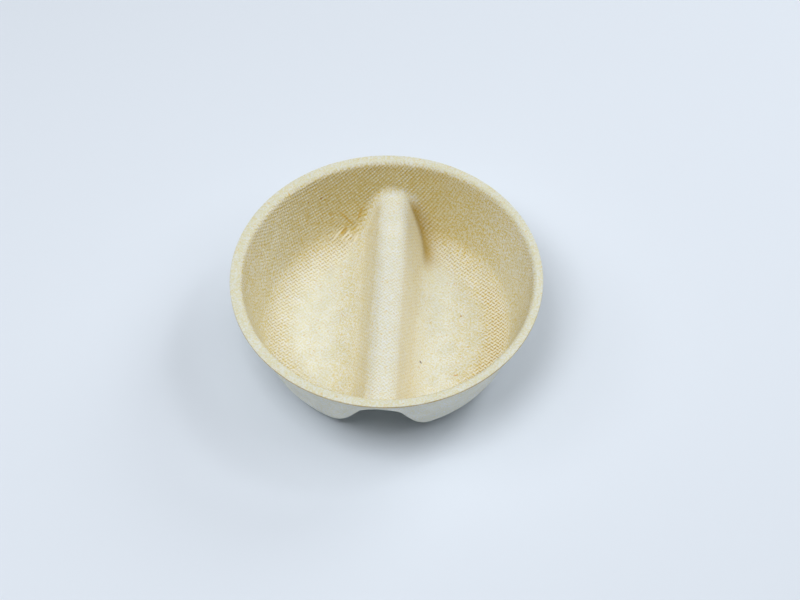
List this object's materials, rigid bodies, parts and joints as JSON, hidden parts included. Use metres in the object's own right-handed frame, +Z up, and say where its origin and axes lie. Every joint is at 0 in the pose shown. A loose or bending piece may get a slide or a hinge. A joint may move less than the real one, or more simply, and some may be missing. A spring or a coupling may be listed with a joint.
{
  "type": "molded pulp tray",
  "caption": "Round dish pressed from one sheet of pulp, with a flat rim and a hollow rounded ridge across it that parts it into compartments and leaves feet below.",
  "frame": {"origin": "middle of the plane of the feet, on the tray's upright axis", "axes": "+Z up through the open top, Y along the ridge, X across the ridge from one compartment to the other"},
  "size_m": [0.1, 0.1, 0.0315],
  "materials": {
    "pulp": "matte, unbleached pressed fibre with a wire-screen imprint inside"
  },
  "bodies": {
    "root": {"tray": "pulp"}
  },
  "joints": []
}
